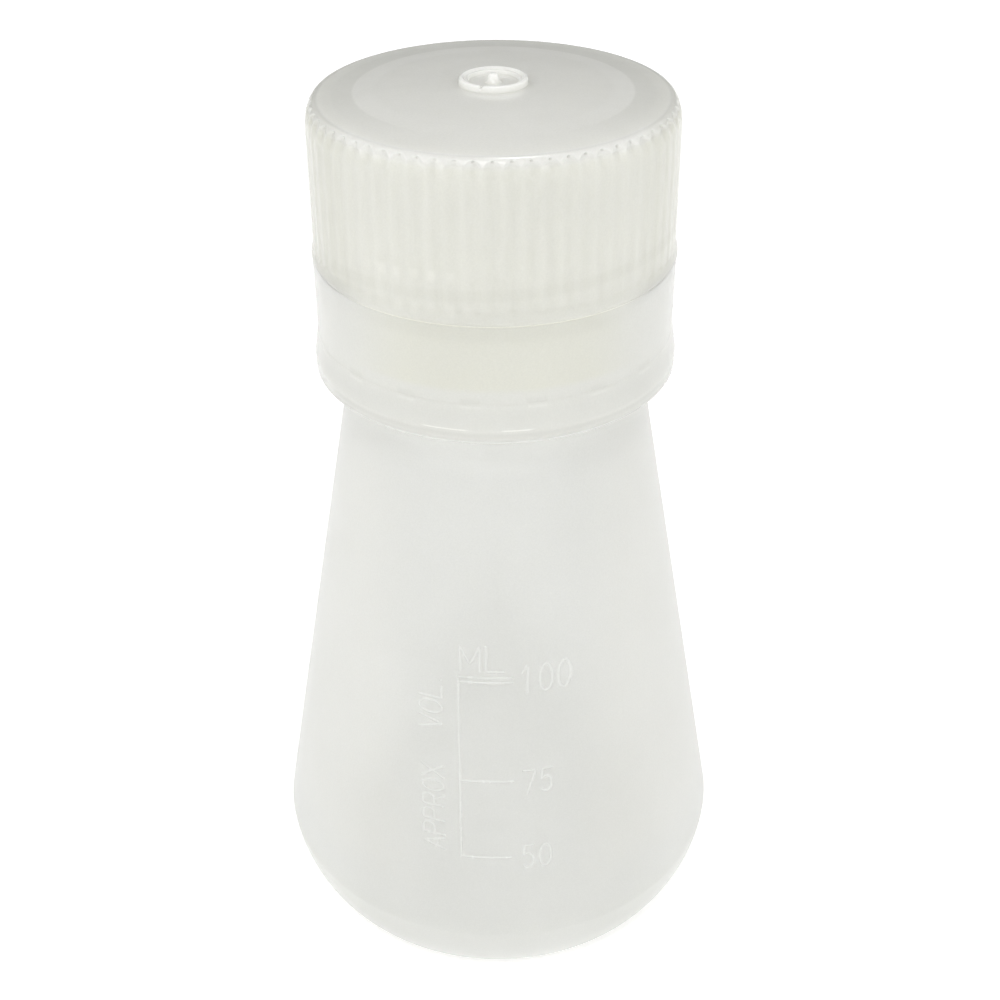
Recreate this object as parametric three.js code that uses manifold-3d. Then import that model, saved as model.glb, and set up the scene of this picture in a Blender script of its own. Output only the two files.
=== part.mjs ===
// Conical screw-cap flask of natural polypropylene, about 125 ml: body, cap, seal disc, neck ring.
// Millimetres, +Z up, the scale on the front (-Y).
// The origin is the centre of the standing ring, on the plane the flask rests on.
// R_ names are radii about Z and Z_ names are heights.
import * as THREE from "three";
import { mergeVertices } from "three/addons/utils/BufferGeometryUtils.js";
import Module from "manifold-3d";

const wasm = await Module();
wasm.setup();

// ---------------------------------------------------------------- shared dimensions
const Z_LIP = 109.2; // top of the neck
const Z_CONE_TOP = 81.02; // where the cone becomes the neck
const ROUND_COLUMNS = 60; // columns in a turn of the body, the cap's inside and the ring

// 38 mm screw finish, right hand
const PITCH = 4.23;
const Z_NECK_THREAD = 100.5; // middle of the neck thread's lower end, at angle 0
const THREAD_SINK = 0.35; // how far a thread's root is sunk into its wall
const THREAD_ROOT_WIDTH = 2.3;
const THREAD_CREST_WIDTH = 0.9;
const THREAD_STEPS = 48; // steps in one turn

// Lugs inside the ring, held between two beads of the neck
const Z_LUG_BOTTOM = 86.3;
const Z_LUG_TOP = 88.4;

// ---------------------------------------------------------------- helpers
// A closed three.js geometry as a solid whose faces point outwards.
function solid(geometry) {
  geometry.deleteAttribute("normal");
  geometry.deleteAttribute("uv");
  const merged = mergeVertices(geometry, 1e-4);
  const position = merged.getAttribute("position");
  const index = merged.index.array;
  const corners = [0, 1, 2].map(() => new THREE.Vector3());
  const triangles = [];
  let signedVolume = 0; // times six
  for (let i = 0; i < index.length; i += 3) {
    const [a, b, c] = index.subarray(i, i + 3);
    if (a === b || b === c || c === a) continue; // collapsed on the axis
    triangles.push(a, b, c);
    [a, b, c].forEach((vertex, k) => corners[k].fromBufferAttribute(position, vertex));
    signedVolume += corners[0].dot(corners[1].cross(corners[2]));
  }
  if (signedVolume < 0) {
    for (let i = 0; i < triangles.length; i += 3) {
      [triangles[i + 1], triangles[i + 2]] = [triangles[i + 2], triangles[i + 1]];
    }
  }
  return new wasm.Manifold(
    new wasm.Mesh({
      numProp: 3,
      vertProperties: new Float32Array(position.array),
      triVerts: new Uint32Array(triangles),
    }),
  );
}

// A solid from a flat list of coordinates and a list of triangle corners.
function indexedSolid(positions, indices) {
  const geometry = new THREE.BufferGeometry();
  geometry.setAttribute("position", new THREE.Float32BufferAttribute(positions, 3));
  geometry.setIndex(indices);
  return solid(geometry);
}

// A profile of [radius, height] pairs turned about Z.
// The profile starts and ends on the axis, or closes on itself.
// radiusAt(radius, z, column) may change a point's radius, for ribs.
function turned(profile, columns, radiusAt = (radius) => radius) {
  const geometry = new THREE.LatheGeometry(
    profile.map(([radius, z]) => new THREE.Vector2(radius, z)),
    columns,
  );
  geometry.rotateX(Math.PI / 2);
  const position = geometry.getAttribute("position");
  for (let i = 0; i < position.count; i++) {
    const [radius, z] = profile[i % profile.length];
    const column = Math.floor(i / profile.length) % columns;
    const moved = radiusAt(radius, z, column);
    if (moved === radius) continue;
    position.setXY(
      i,
      (position.getX(i) * moved) / radius,
      (position.getY(i) * moved) / radius,
    );
  }
  return solid(geometry);
}

// A screw ridge: a trapezium swept along a right-hand helix.
// It gets lower and narrower over the last three steps at each end.
function ridge({ rootRadius, crestRadius, zStart, turns }) {
  const steps = Math.round(turns * THREAD_STEPS);
  const positions = [];
  const indices = [];
  for (let i = 0; i <= steps; i++) {
    const turn = i / THREAD_STEPS;
    const angle = 2 * Math.PI * turn;
    const z = zStart + PITCH * turn;
    const fade = Math.min(1, 0.15 + (3 * Math.min(i, steps - i)) / 8);
    const crest = rootRadius + (crestRadius - rootRadius) * Math.max(0.35, fade);
    const halfCrest = (THREAD_CREST_WIDTH / 2) * fade;
    for (const [radius, rise] of [
      [rootRadius, -THREAD_ROOT_WIDTH / 2],
      [crest, -halfCrest],
      [crest, halfCrest],
      [rootRadius, THREAD_ROOT_WIDTH / 2],
    ]) {
      positions.push(radius * Math.cos(angle), radius * Math.sin(angle), z + rise);
    }
  }
  for (let i = 0; i < steps; i++) {
    for (let k = 0; k < 4; k++) {
      const here = 4 * i + k;
      const next = 4 * i + ((k + 1) % 4);
      indices.push(here, next, here + 4, next, next + 4, here + 4);
    }
  }
  const end = 4 * steps;
  indices.push(0, 2, 1, 0, 3, 2);
  indices.push(end, end + 1, end + 2, end, end + 2, end + 3);
  return indexedSolid(positions, indices);
}

// A bar that lies on a surface of revolution, from depth `below` it to height `above` it.
// radiusAt(z) is the surface; startAngle(z) and endAngle(z) are degrees about Z.
function bar({ radiusAt, startAngle, endAngle, zBottom, zTop, below, above, steps, rows }) {
  const positions = [];
  const indices = [];
  const at = (side, row, column) => (side * (rows + 1) + row) * (steps + 1) + column;
  for (const offset of [-below, above]) {
    for (let j = 0; j <= rows; j++) {
      const z = zBottom + ((zTop - zBottom) * j) / rows;
      const start = startAngle(z);
      const end = endAngle(z);
      const radius = radiusAt(z) + offset;
      for (let i = 0; i <= steps; i++) {
        const angle = THREE.MathUtils.degToRad(start + ((end - start) * i) / steps);
        positions.push(radius * Math.cos(angle), radius * Math.sin(angle), z);
      }
    }
  }
  for (let j = 0; j < rows; j++) {
    for (let i = 0; i < steps; i++) {
      indices.push(at(0, j, i), at(0, j + 1, i), at(0, j, i + 1));
      indices.push(at(0, j, i + 1), at(0, j + 1, i), at(0, j + 1, i + 1));
      indices.push(at(1, j, i), at(1, j, i + 1), at(1, j + 1, i));
      indices.push(at(1, j, i + 1), at(1, j + 1, i + 1), at(1, j + 1, i));
    }
  }
  // Joins the two sides between neighbours along the border, each given as [row, column].
  const addWall = (from, to) => {
    const [innerFrom, innerTo] = [at(0, ...from), at(0, ...to)];
    const [outerFrom, outerTo] = [at(1, ...from), at(1, ...to)];
    indices.push(innerFrom, innerTo, outerFrom, innerTo, outerTo, outerFrom);
  };
  for (let i = 0; i < steps; i++) {
    addWall([0, i], [0, i + 1]);
    addWall([rows, i + 1], [rows, i]);
  }
  for (let j = 0; j < rows; j++) {
    addWall([j + 1, 0], [j, 0]);
    addWall([j, steps], [j + 1, steps]);
  }
  return indexedSolid(positions, indices);
}

// A solid as a named three.js mesh.
function piece(name, shape, { color, roughness }) {
  const { vertProperties, triVerts } = shape.getMesh();
  const geometry = new THREE.BufferGeometry();
  geometry.setAttribute(
    "position",
    new THREE.BufferAttribute(new Float32Array(vertProperties), 3),
  );
  geometry.setIndex(new THREE.BufferAttribute(new Uint32Array(triVerts), 1));
  geometry.computeVertexNormals();
  const material = new THREE.MeshStandardMaterial({ color, roughness, metalness: 0 });
  const mesh = new THREE.Mesh(geometry, material);
  mesh.name = name;
  return mesh;
}

// ---------------------------------------------------------------- flask body
const R_STAND_IN = 19.0; // standing ring, inner edge
const R_STAND_OUT = 21.4; // standing ring, outer edge
const PUSH_UP = 2.2; // height of the hollow under the base
const FLOOR = 1.6; // thickness
const WALL = 1.2;
const R_HEEL = 29.97; // foot of the cone
const Z_HEEL = 11.21; // where the cone meets the heel
const HEEL_STEPS = 9;
const Z_CONE_MID = 46; // a station part way up the cone
const R_CONE_TOP = 17.41;
const R_NECK = 17.5; // thread root
const R_NECK_BEAD = 18.9; // two beads, one under and one over the ring's lugs
const R_NECK_THREAD = 18.6; // crest
const NECK_TURNS = 1.5;
const R_MOUTH = 15.4;
const Z_MOUTH_BORE = 86.9; // below this the neck thins to the cone's wall
const CUT_PAST_LIP = 5; // how far the inside is carried on above the lip

const coneRadius = (z) =>
  R_CONE_TOP + ((R_HEEL - R_CONE_TOP) * (Z_CONE_TOP - z)) / (Z_CONE_TOP - Z_HEEL);

// The heel is one cubic curve from the standing ring up to the cone.
function heelPoints() {
  return new THREE.CubicBezierCurve(
    new THREE.Vector2(R_STAND_OUT, 0),
    new THREE.Vector2(28.8, 0),
    new THREE.Vector2(30.1, 10.4),
    new THREE.Vector2(R_HEEL, Z_HEEL),
  )
    .getPoints(HEEL_STEPS)
    .map(({ x, y }) => [x, y]);
}

function flaskOutside() {
  const profile = [
    // hollow under the base
    [0, PUSH_UP],
    [10, PUSH_UP],
    [15.5, PUSH_UP - 0.5],
    [R_STAND_IN, 0],
    ...heelPoints(),
    // cone
    [coneRadius(Z_CONE_MID), Z_CONE_MID],
    [R_CONE_TOP, Z_CONE_TOP],
    [R_NECK, Z_CONE_TOP + 2.2],
    // bead under the lugs
    [R_NECK_BEAD, Z_LUG_BOTTOM - 1.5],
    [R_NECK_BEAD, Z_LUG_BOTTOM - 0.35],
    [R_NECK, Z_LUG_BOTTOM - 0.3],
    // bead over the lugs
    [R_NECK, Z_LUG_TOP + 1.0],
    [R_NECK_BEAD, Z_LUG_TOP + 1.1],
    [R_NECK_BEAD, Z_LUG_TOP + 2.2],
    [R_NECK, Z_LUG_TOP + 3.6],
    // lip
    [R_NECK, Z_LIP - 0.5],
    [R_NECK - 0.4, Z_LIP],
    [0, Z_LIP],
  ];
  return turned(profile, ROUND_COLUMNS);
}

// The inside follows the outside about one wall thickness in, and runs out through the mouth.
function flaskInside() {
  const profile = [
    // floor and heel
    [0, PUSH_UP + FLOOR],
    [10.5, PUSH_UP + FLOOR - 0.1],
    [16, PUSH_UP + FLOOR - 0.8],
    [19.5, FLOOR + 0.2],
    [22.6, 2.1],
    [25.6, 3.9],
    [27.6, 6.9],
    [28.6, 10.0],
    // cone
    [coneRadius(13) - WALL, 13],
    [coneRadius(Z_CONE_MID) - WALL, Z_CONE_MID],
    [R_CONE_TOP - WALL, Z_CONE_TOP],
    // neck and mouth
    [R_CONE_TOP - WALL, Z_MOUTH_BORE - 3.2],
    [R_MOUTH, Z_MOUTH_BORE],
    [R_MOUTH, Z_LIP - 0.6],
    [R_MOUTH + 0.6, Z_LIP + 0.001],
    [R_MOUTH + 0.6, Z_LIP + CUT_PAST_LIP],
    [0, Z_LIP + CUT_PAST_LIP],
  ];
  return turned(profile, ROUND_COLUMNS);
}

// Raised scale lines: height, x of the right-hand end, half the line's thickness
const MARKS = [
  { z: 48.78, right: 1.72, half: 0.42 }, // 100 ml
  { z: 34.62, right: 1.78, half: 0.26 }, // 75 ml
  { z: 23.35, right: 1.5, half: 0.26 }, // 50 ml
];
const MARK_JOIN_X = -4.78; // middle of the upright line that joins the marks
const MARK_JOIN_HALF = 0.24; // half the upright's thickness
const MARK_OVERHANG = 0.25; // how far the marks reach left of the upright's middle
const MARK_RELIEF = 0.35; // height above the cone
const MARK_SINK = 0.4; // depth into the cone's wall

// One line of the scale, drawn from x = left to x = right as seen from the front.
function scaleLine({ left, right, zBottom, zTop, steps, rows }) {
  const angleOf = (x) => (z) =>
    -90 + THREE.MathUtils.radToDeg(Math.asin(x / coneRadius(z)));
  return bar({
    radiusAt: coneRadius,
    startAngle: angleOf(left),
    endAngle: angleOf(right),
    zBottom,
    zTop,
    below: MARK_SINK,
    above: MARK_RELIEF,
    steps,
    rows,
  });
}

function makeFlask() {
  let flask = flaskOutside().subtract(flaskInside());
  const thread = ridge({
    rootRadius: R_NECK - THREAD_SINK,
    crestRadius: R_NECK_THREAD,
    zStart: Z_NECK_THREAD,
    turns: NECK_TURNS,
  });
  flask = flask.add(thread);
  for (const { z, right, half } of MARKS) {
    const left = MARK_JOIN_X - MARK_OVERHANG;
    const mark = scaleLine({
      left, right, zBottom: z - half, zTop: z + half, steps: 4, rows: 1,
    });
    flask = flask.add(mark);
  }
  const upright = scaleLine({
    left: MARK_JOIN_X - MARK_JOIN_HALF,
    right: MARK_JOIN_X + MARK_JOIN_HALF,
    zBottom: MARKS.at(-1).z,
    zTop: MARKS[0].z,
    steps: 1,
    rows: 2,
  });
  return flask.add(upright);
}

// ---------------------------------------------------------------- screw cap
const Z_CAP_BOTTOM = 94.8; // lower edge of the skirt
const Z_CAP_TOP = 112.54; // rim of the top
const DOME = 1.12; // rise of the top from its rim to its middle
const R_CAP_BEAD = 20.97; // bead round the skirt's lower edge
const R_RIB = 20.6; // over the grip ribs
const RIB_DEPTH = 0.42;
const RIBS = 65;
const RIB_TURN = -3.2; // degrees that the ribs are turned about Z
const Z_RIB_BOTTOM = 96.3;
const Z_RIB_TOP = 109.4; // where the rounded edge starts
const Z_RIB_FADE = Z_CAP_TOP - 1.2; // the grooves run out above this
const EDGE_WIDTH = 1.26; // rounded edge of the top, measured radially
const EDGE_STEPS = 4;
const R_CAP_RIM = R_RIB - EDGE_WIDTH;
const R_CAP_BORE = 19.1; // inside of the skirt
const Z_CAP_CEILING = 110.9; // underside of the top, at its rim
const CUT_BELOW_CAP = 3; // how far the inside is carried on below the skirt
const R_CAP_THREAD = 17.95; // crest
const CAP_TURNS = 1.25;
const R_GATE = 3.8; // moulding gate boss: a low ring with a pip in its middle
const GATE_HEIGHT = 0.75;
const R_PIP = 0.55;
const PIP_HEIGHT = 1.1;
const GATE_COLUMNS = 32;

const domeHeight = (radius) => Z_CAP_TOP + DOME * (1 - (radius / R_CAP_RIM) ** 2);
const Z_DOME_TOP = domeHeight(0);

// The rounded edge of the top: a quarter ellipse.
function capEdgePoints() {
  return Array.from({ length: EDGE_STEPS + 1 }, (_, k) => {
    const angle = (Math.PI / 2) * (k / EDGE_STEPS);
    return [
      R_CAP_RIM + EDGE_WIDTH * Math.cos(angle),
      Z_RIB_TOP + (Z_CAP_TOP - Z_RIB_TOP) * Math.sin(angle),
    ];
  });
}

function capOutside() {
  const profile = [
    [0, Z_CAP_BOTTOM],
    [R_RIB, Z_CAP_BOTTOM],
    [R_CAP_BEAD, Z_CAP_BOTTOM + 0.3],
    [R_CAP_BEAD, Z_CAP_BOTTOM + 0.8],
    [R_RIB + 0.02, Z_CAP_BOTTOM + 1.2],
    [R_RIB, Z_RIB_BOTTOM],
    ...capEdgePoints(),
    ...[13.5, 7, 0].map((radius) => [radius, domeHeight(radius)]),
  ];
  // Every other column is drawn in, which leaves the ribs standing.
  const groove = (radius, z, column) =>
    column % 2 === 1 && z >= Z_RIB_BOTTOM && z < Z_RIB_FADE ? radius - RIB_DEPTH : radius;
  return turned(profile, RIBS * 2, groove).rotate([0, 0, RIB_TURN]);
}

function capInside() {
  const profile = [
    [0, Z_CAP_BOTTOM - CUT_BELOW_CAP],
    [R_CAP_BORE + 0.5, Z_CAP_BOTTOM - CUT_BELOW_CAP],
    [R_CAP_BORE + 0.5, Z_CAP_BOTTOM],
    [R_CAP_BORE, Z_CAP_BOTTOM + 0.7],
    [R_CAP_BORE, Z_CAP_CEILING - 1],
    [R_CAP_BORE - 1, Z_CAP_CEILING],
    [9, Z_CAP_CEILING + 0.8 * DOME],
    [0, Z_CAP_CEILING + DOME],
  ];
  return turned(profile, ROUND_COLUMNS);
}

function gateBoss() {
  const foot = domeHeight(R_GATE);
  const profile = [
    [0, Z_DOME_TOP - 0.8],
    [R_GATE, Z_DOME_TOP - 0.8],
    [R_GATE, foot],
    [R_GATE - 0.15, foot + GATE_HEIGHT - 0.1],
    [R_GATE - 0.4, foot + GATE_HEIGHT],
    [R_GATE - 0.6, foot + GATE_HEIGHT - 0.1],
    [R_GATE - 1.2, Z_DOME_TOP + 0.02],
    [R_PIP + 0.2, Z_DOME_TOP + 0.02],
    [R_PIP, Z_DOME_TOP + PIP_HEIGHT - 0.3],
    [R_PIP - 0.25, Z_DOME_TOP + PIP_HEIGHT],
    [0, Z_DOME_TOP + PIP_HEIGHT],
  ];
  return turned(profile, GATE_COLUMNS);
}

function makeCap() {
  const thread = ridge({
    rootRadius: R_CAP_BORE + THREAD_SINK,
    crestRadius: R_CAP_THREAD,
    zStart: Z_NECK_THREAD - PITCH / 2, // half a pitch off, between the neck's turns
    turns: CAP_TURNS,
  });
  return capOutside().subtract(capInside()).add(gateBoss()).add(thread);
}

// ---------------------------------------------------------------- seal disc inside the cap
// A flat disc over the lip, with a plug ring that reaches down into the mouth.
function makeSeal() {
  const rDisc = 17.7;
  const zBottom = 109.5;
  const zTop = zBottom + 1.1;
  const rPlugIn = 13.3;
  const rPlugOut = 15.1;
  const zPlug = zBottom - 2.6; // lower end of the plug ring
  const bevel = 0.15;
  const profile = [
    [0, zBottom],
    [rPlugIn, zBottom],
    [rPlugIn + 0.3, zPlug],
    [rPlugOut - 0.6, zPlug],
    [rPlugOut, zPlug + 1.2],
    [rPlugOut, zBottom],
    [rDisc - bevel, zBottom],
    [rDisc, zBottom + bevel],
    [rDisc, zTop - bevel],
    [rDisc - bevel, zTop],
    [0, zTop],
  ];
  return turned(profile, 48);
}

// ---------------------------------------------------------------- loose ring under the cap
// A plain sleeve with a bead round its lower edge.
// Its lugs sit between two beads of the neck, so it turns but stays on.
const R_RING = 20.94;
const R_RING_BEAD = 21.4; // crest of the bead
const R_RING_BORE = 19.7;
const Z_RING_BOTTOM = Z_CONE_TOP;
const Z_RING_CREST = 82.54;
const Z_RING_STEP = 85.45; // where the bead ends and the plain band starts
const Z_RING_TOP = 94.5;
const LUGS = 18;
const LUG_START = -77.6; // degrees about Z of the first lug
const LUG_HALF_ANGLE = 3; // degrees
const LUG_SINK = 0.4; // depth into the sleeve
const R_LUG = 18.4; // inner face

function makeRing() {
  const profile = [
    [R_RING_BORE, Z_RING_BOTTOM],
    [R_RING_BEAD - 0.2, Z_RING_BOTTOM],
    [R_RING_BEAD - 0.1, Z_RING_BOTTOM + 0.15],
    [R_RING_BEAD, Z_RING_CREST],
    [R_RING + 0.06, Z_RING_STEP - 0.05],
    [R_RING, Z_RING_STEP],
    [R_RING - 0.05, Z_RING_TOP - 0.15],
    [R_RING - 0.2, Z_RING_TOP],
    [R_RING_BORE, Z_RING_TOP],
    [R_RING_BORE, Z_RING_BOTTOM],
  ];
  let ring = turned(profile, ROUND_COLUMNS);
  for (let i = 0; i < LUGS; i++) {
    const angle = LUG_START + (360 * i) / LUGS;
    const lug = bar({
      radiusAt: () => R_RING_BORE,
      startAngle: () => angle - LUG_HALF_ANGLE,
      endAngle: () => angle + LUG_HALF_ANGLE,
      zBottom: Z_LUG_BOTTOM,
      zTop: Z_LUG_TOP,
      below: R_RING_BORE - R_LUG,
      above: LUG_SINK,
      steps: 1,
      rows: 1,
    });
    ring = ring.add(lug);
  }
  return ring;
}

// ---------------------------------------------------------------- assembly
const root = new THREE.Group();
root.add(
  piece("flask_body", makeFlask(), { color: 0xe4e4df, roughness: 0.45 }),
  piece("screw_cap", makeCap(), { color: 0xe6e5dc, roughness: 0.4 }),
  piece("seal_disc", makeSeal(), { color: 0xdedfda, roughness: 0.6 }),
  piece("neck_ring", makeRing(), { color: 0xe3e3de, roughness: 0.4 }),
);
export default root;
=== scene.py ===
"""A conical polypropylene flask with a screw cap, a neck ring and a seal disc.

It stands upright on z = 0 with its axis on Z. The front, with the raised scale, faces -Y.
Shapes are worked out in millimetres and turned into metres as each mesh is made.
"""
import math

import bmesh
import bpy
import numpy as np
from mathutils import Matrix, Vector


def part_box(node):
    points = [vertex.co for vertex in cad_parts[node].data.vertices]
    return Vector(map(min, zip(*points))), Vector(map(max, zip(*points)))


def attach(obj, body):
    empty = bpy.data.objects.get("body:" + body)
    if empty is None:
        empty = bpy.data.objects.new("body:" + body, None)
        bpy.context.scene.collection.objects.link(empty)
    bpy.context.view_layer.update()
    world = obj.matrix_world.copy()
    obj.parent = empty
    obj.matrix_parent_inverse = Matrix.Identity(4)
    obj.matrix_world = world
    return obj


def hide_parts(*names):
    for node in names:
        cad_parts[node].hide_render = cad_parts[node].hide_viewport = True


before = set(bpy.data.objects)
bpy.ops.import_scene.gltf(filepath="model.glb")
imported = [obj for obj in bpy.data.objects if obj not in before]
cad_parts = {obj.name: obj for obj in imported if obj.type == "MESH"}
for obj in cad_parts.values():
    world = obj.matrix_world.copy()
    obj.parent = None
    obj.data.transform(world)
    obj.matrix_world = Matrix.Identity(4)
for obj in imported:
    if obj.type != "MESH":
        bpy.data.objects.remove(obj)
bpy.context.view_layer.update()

MM = 0.001
TAU = 2 * math.pi

# ---------------------------------------------------------------- sizes
# In mm. _R is a radius and _Z a height. The outer heights come from the CAD pieces.
CAP_BOTTOM_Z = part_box("screw_cap")[0].z / MM
LIP_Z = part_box("flask_body")[1].z / MM
RING_BOTTOM_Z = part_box("neck_ring")[0].z / MM
SEAL_BOTTOM_Z, SEAL_TOP_Z = (corner.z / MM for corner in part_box("seal_disc"))

# flask
HEEL_R, HEEL_Z = 29.97, 11.21
CONE_TOP_R, CONE_TOP_Z = 17.41, 81.02
CONE_SLOPE = (HEEL_R - CONE_TOP_R) / (CONE_TOP_Z - HEEL_Z)
NECK_R = 17.5
NECK_BEAD_R = 18.9
BORE_R = 15.4
WALL = 1.2
FOOT_R = 21.4  # where the foot turns up into the heel
CONE_END_Z = 79.6  # where the straight cone gives way to the neck

# screw threads
PITCH = 4.23
NECK_THREAD_R = 18.6
NECK_THREAD_Z = 100.5
NECK_TURNS = 1.5
CAP_THREAD_R = 17.95
CAP_TURNS = 1.25
THREAD_ROOT = 1.15  # half the ridge's width at its root
THREAD_CREST = 0.45  # half the ridge's width at its crest
THREAD_FADE = 28 / 360  # turns over which each end of the ridge fades
THREAD_STEP = 0.18  # height between rings of points

# cap
CAP_TOP_Z = 112.54  # the rim of the top
CAP_EDGE_Z = CAP_TOP_Z - 3.0  # where the side starts to round over
CAP_TOP_R = 19.4
CAP_BORE_R = 19.1
CAP_BEAD_R = 20.97
DOME = 1.12  # how far the top rises from its rim to its middle
RIB_R = 20.6
RIB_TOP_R = 20.2  # the ridges start here, under the rounded edge
RIB_DRAFT = 0.11
RIBS = 65
FLUTE_SIDE = 0.068  # flute depth down the side
FLUTE_UPPER = 0.175  # just below the edge
FLUTE_DEPTH = 0.4  # at the edge
FLUTE_ANGLE = math.radians(-90.45)  # the middle of one flute
GATE_R = 3.8  # the moulding gate in the middle of the top

# neck ring
RING_R = 20.94
RING_LIP_R = 21.42
RING_BORE_R = 19.7
RING_CREST_Z = 82.54
RING_STEP_Z = 85.45
LUGS = 18
LUG_ANGLE = math.radians(-77.6)
LUG_R = 18.4
LUG_BOTTOM_Z, LUG_TOP_Z = 86.3, 88.4

# seal disc
SEAL_UNDER_Z = SEAL_TOP_Z - 1.1
SEAL_R = 17.7


def ease(start, end, x):
    """0 up to start, 1 from end on, with a smooth step between."""
    t = np.clip((np.asarray(x, float) - start) / (end - start), 0, 1)
    return t * t * (3 - 2 * t)


def cone_radius(z):
    return CONE_TOP_R + CONE_SLOPE * (CONE_TOP_Z - z)


# ---------------------------------------------------------------- mesh building
def rounded(points, steps=5):
    """A profile of (r, z) or (r, z, fillet radius) with its corners rounded."""
    out = []
    last = len(points) - 1
    for i, point in enumerate(points):
        fillet = point[2] if len(point) > 2 else 0
        if fillet <= 0 or i in (0, last):
            out.append(point[:2])
            continue
        before = np.array(points[i - 1][:2], float)
        corner = np.array(point[:2], float)
        after = np.array(points[i + 1][:2], float)
        length_in = np.linalg.norm(before - corner)
        length_out = np.linalg.norm(after - corner)
        back = (before - corner) / length_in
        ahead = (after - corner) / length_out
        half = math.acos(max(-1, min(1, float(back @ ahead)))) / 2
        if half > math.pi / 2 - 0.02:  # all but straight
            out.append(point[:2])
            continue
        cut = min(fillet / math.tan(half), 0.48 * length_in, 0.48 * length_out)
        radius = cut * math.tan(half)
        middle = (back + ahead) / np.linalg.norm(back + ahead)
        centre = corner + middle * (radius / math.sin(half))
        start = corner + back * cut - centre
        end = corner + ahead * cut - centre
        angle = math.atan2(start[1], start[0])
        sweep = (math.atan2(end[1], end[0]) - angle + math.pi) % TAU - math.pi
        for k in range(steps + 1):
            t = angle + sweep * k / steps
            out.append((centre[0] + radius * math.cos(t), centre[1] + radius * math.sin(t)))
    return out


def spaced(points, step):
    """The profile with long stretches divided, so that no edge is longer than step."""
    out = [points[0]]
    for (r0, z0), (r1, z1) in zip(points, points[1:]):
        parts = max(1, int(math.ceil(math.hypot(r1 - r0, z1 - z0) / step)))
        for i in range(1, parts + 1):
            out.append((r0 + (r1 - r0) * i / parts, z0 + (z1 - z0) * i / parts))
    return out


def bezier(p0, p1, p2, p3, steps):
    t = np.linspace(0, 1, steps + 1)[:, None]
    curve = (
        (1 - t) ** 3 * np.array(p0)
        + 3 * (1 - t) ** 2 * t * np.array(p1)
        + 3 * (1 - t) * t * t * np.array(p2)
        + t**3 * np.array(p3)
    )
    return [tuple(point) for point in curve]


def ring_of(radius, z, count, shape=None):
    """A ring of points about Z. shape(angles, z, radius) may give each its own radius."""
    angles = np.arange(count) * TAU / count
    radii = float(radius) if shape is None else shape(angles, float(z), float(radius))
    return np.stack(
        [radii * np.cos(angles), radii * np.sin(angles), np.full(count, float(z))], 1
    )


def rings_of(profile, count, shape=None):
    """A ring for each (r, z), or a single point where the profile meets the axis."""
    return [
        np.array([[0.0, 0.0, z]]) if r < 1e-9 else ring_of(r, z, count, shape)
        for r, z in profile
    ]


def joined(first, n, second, m):
    """Faces between a ring of n points from index first and one of m from second."""
    if n == m and n > 1:
        return [
            (first + k, first + (k + 1) % n, second + (k + 1) % n, second + k)
            for k in range(n)
        ]
    if n == 1:
        return [(first, second + (k + 1) % m, second + k) for k in range(m)]
    if m == 1:
        return [(first + k, first + (k + 1) % n, second) for k in range(n)]
    # different counts: step along whichever ring lags behind
    faces = []
    p = q = 0
    while p < n or q < m:
        if q >= m or (p < n and (p + 1) * m <= (q + 1) * n):
            faces.append((first + p % n, first + (p + 1) % n, second + q % m))
            p += 1
        else:
            faces.append((first + p % n, second + (q + 1) % m, second + q % m))
            q += 1
    return faces


def shell(name, rings, closed=False):
    """One mesh from a run of rings. closed joins the last ring to the first."""
    starts = np.cumsum([0] + [len(ring) for ring in rings]).tolist()
    pairs = [(i, i + 1) for i in range(len(rings) - 1)]
    if closed:
        pairs.append((len(rings) - 1, 0))
    faces = []
    for i, j in pairs:
        faces += joined(starts[i], len(rings[i]), starts[j], len(rings[j]))
    return mesh_object(name, np.concatenate(rings), faces)


def mesh_object(name, verts, faces):
    """A smooth-shaded object from vertices in mm, its faces turned outwards."""
    mesh = bpy.data.meshes.new(name)
    mesh.from_pydata([tuple(v) for v in (np.asarray(verts) * MM)], [], faces)
    bm = bmesh.new()
    bm.from_mesh(mesh)
    bmesh.ops.recalc_face_normals(bm, faces=bm.faces)
    bm.to_mesh(mesh)
    bm.free()
    mesh.polygons.foreach_set("use_smooth", [True] * len(mesh.polygons))
    mesh.update()
    return linked(name, mesh)


def linked(name, data):
    ob = bpy.data.objects.new(name, data)
    bpy.context.scene.collection.objects.link(ob)
    return ob


def helix_height(angles, z, low_z, turns):
    """0..1: how far a right-hand screw ridge stands at each angle at height z."""
    best = np.zeros_like(angles)
    for k in range(int(math.ceil(turns)) + 1):
        t = angles / TAU + k
        off = np.abs(z - (low_z + PITCH * t))
        ends = ease(0, THREAD_FADE, t) * ease(0, THREAD_FADE, turns - t)
        ridge = 1 - ease(THREAD_CREST, THREAD_ROOT, off)
        best = np.maximum(best, ridge * ends * (t >= 0) * (t <= turns))
    return best


# ---------------------------------------------------------------- flask
def neck_thread(angles, z, radius):
    if abs(radius - NECK_R) < 1e-6 and 98.9 < z < LIP_Z - 0.8:
        height = helix_height(angles, z, NECK_THREAD_Z, NECK_TURNS)
        return radius + (NECK_THREAD_R - NECK_R) * height
    return radius


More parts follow.
